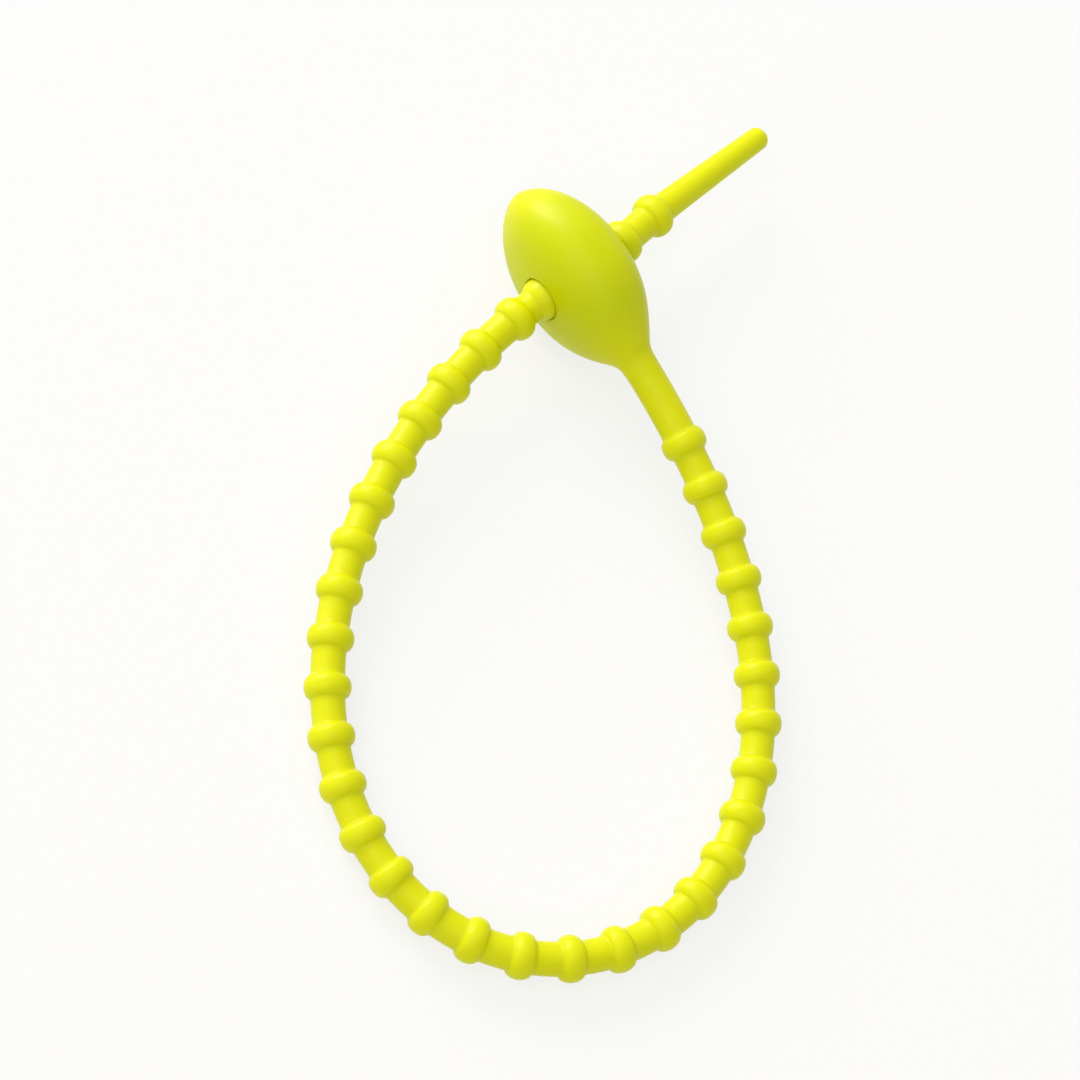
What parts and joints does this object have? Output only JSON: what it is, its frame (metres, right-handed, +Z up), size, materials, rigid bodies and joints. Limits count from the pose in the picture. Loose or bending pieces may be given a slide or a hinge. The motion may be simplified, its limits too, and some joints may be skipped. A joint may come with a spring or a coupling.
{
  "type": "cable tie",
  "caption": "Reusable beaded cable tie in soft silicone, closed in a loop, with its beads pulled through the hole in a rounded head and a plain pull tail.",
  "frame": {"origin": "on the table, under the middle of the tie's own box", "axes": "+Z is up from the table, +X runs along the hole in the head towards the free tail, +Y runs along the head from the neck to its blunt end"},
  "size_m": [0.0838, 0.0716, 0.0149],
  "materials": {
    "silicone": "satin"
  },
  "bodies": {
    "root": {"cable_tie": "silicone"}
  },
  "joints": []
}
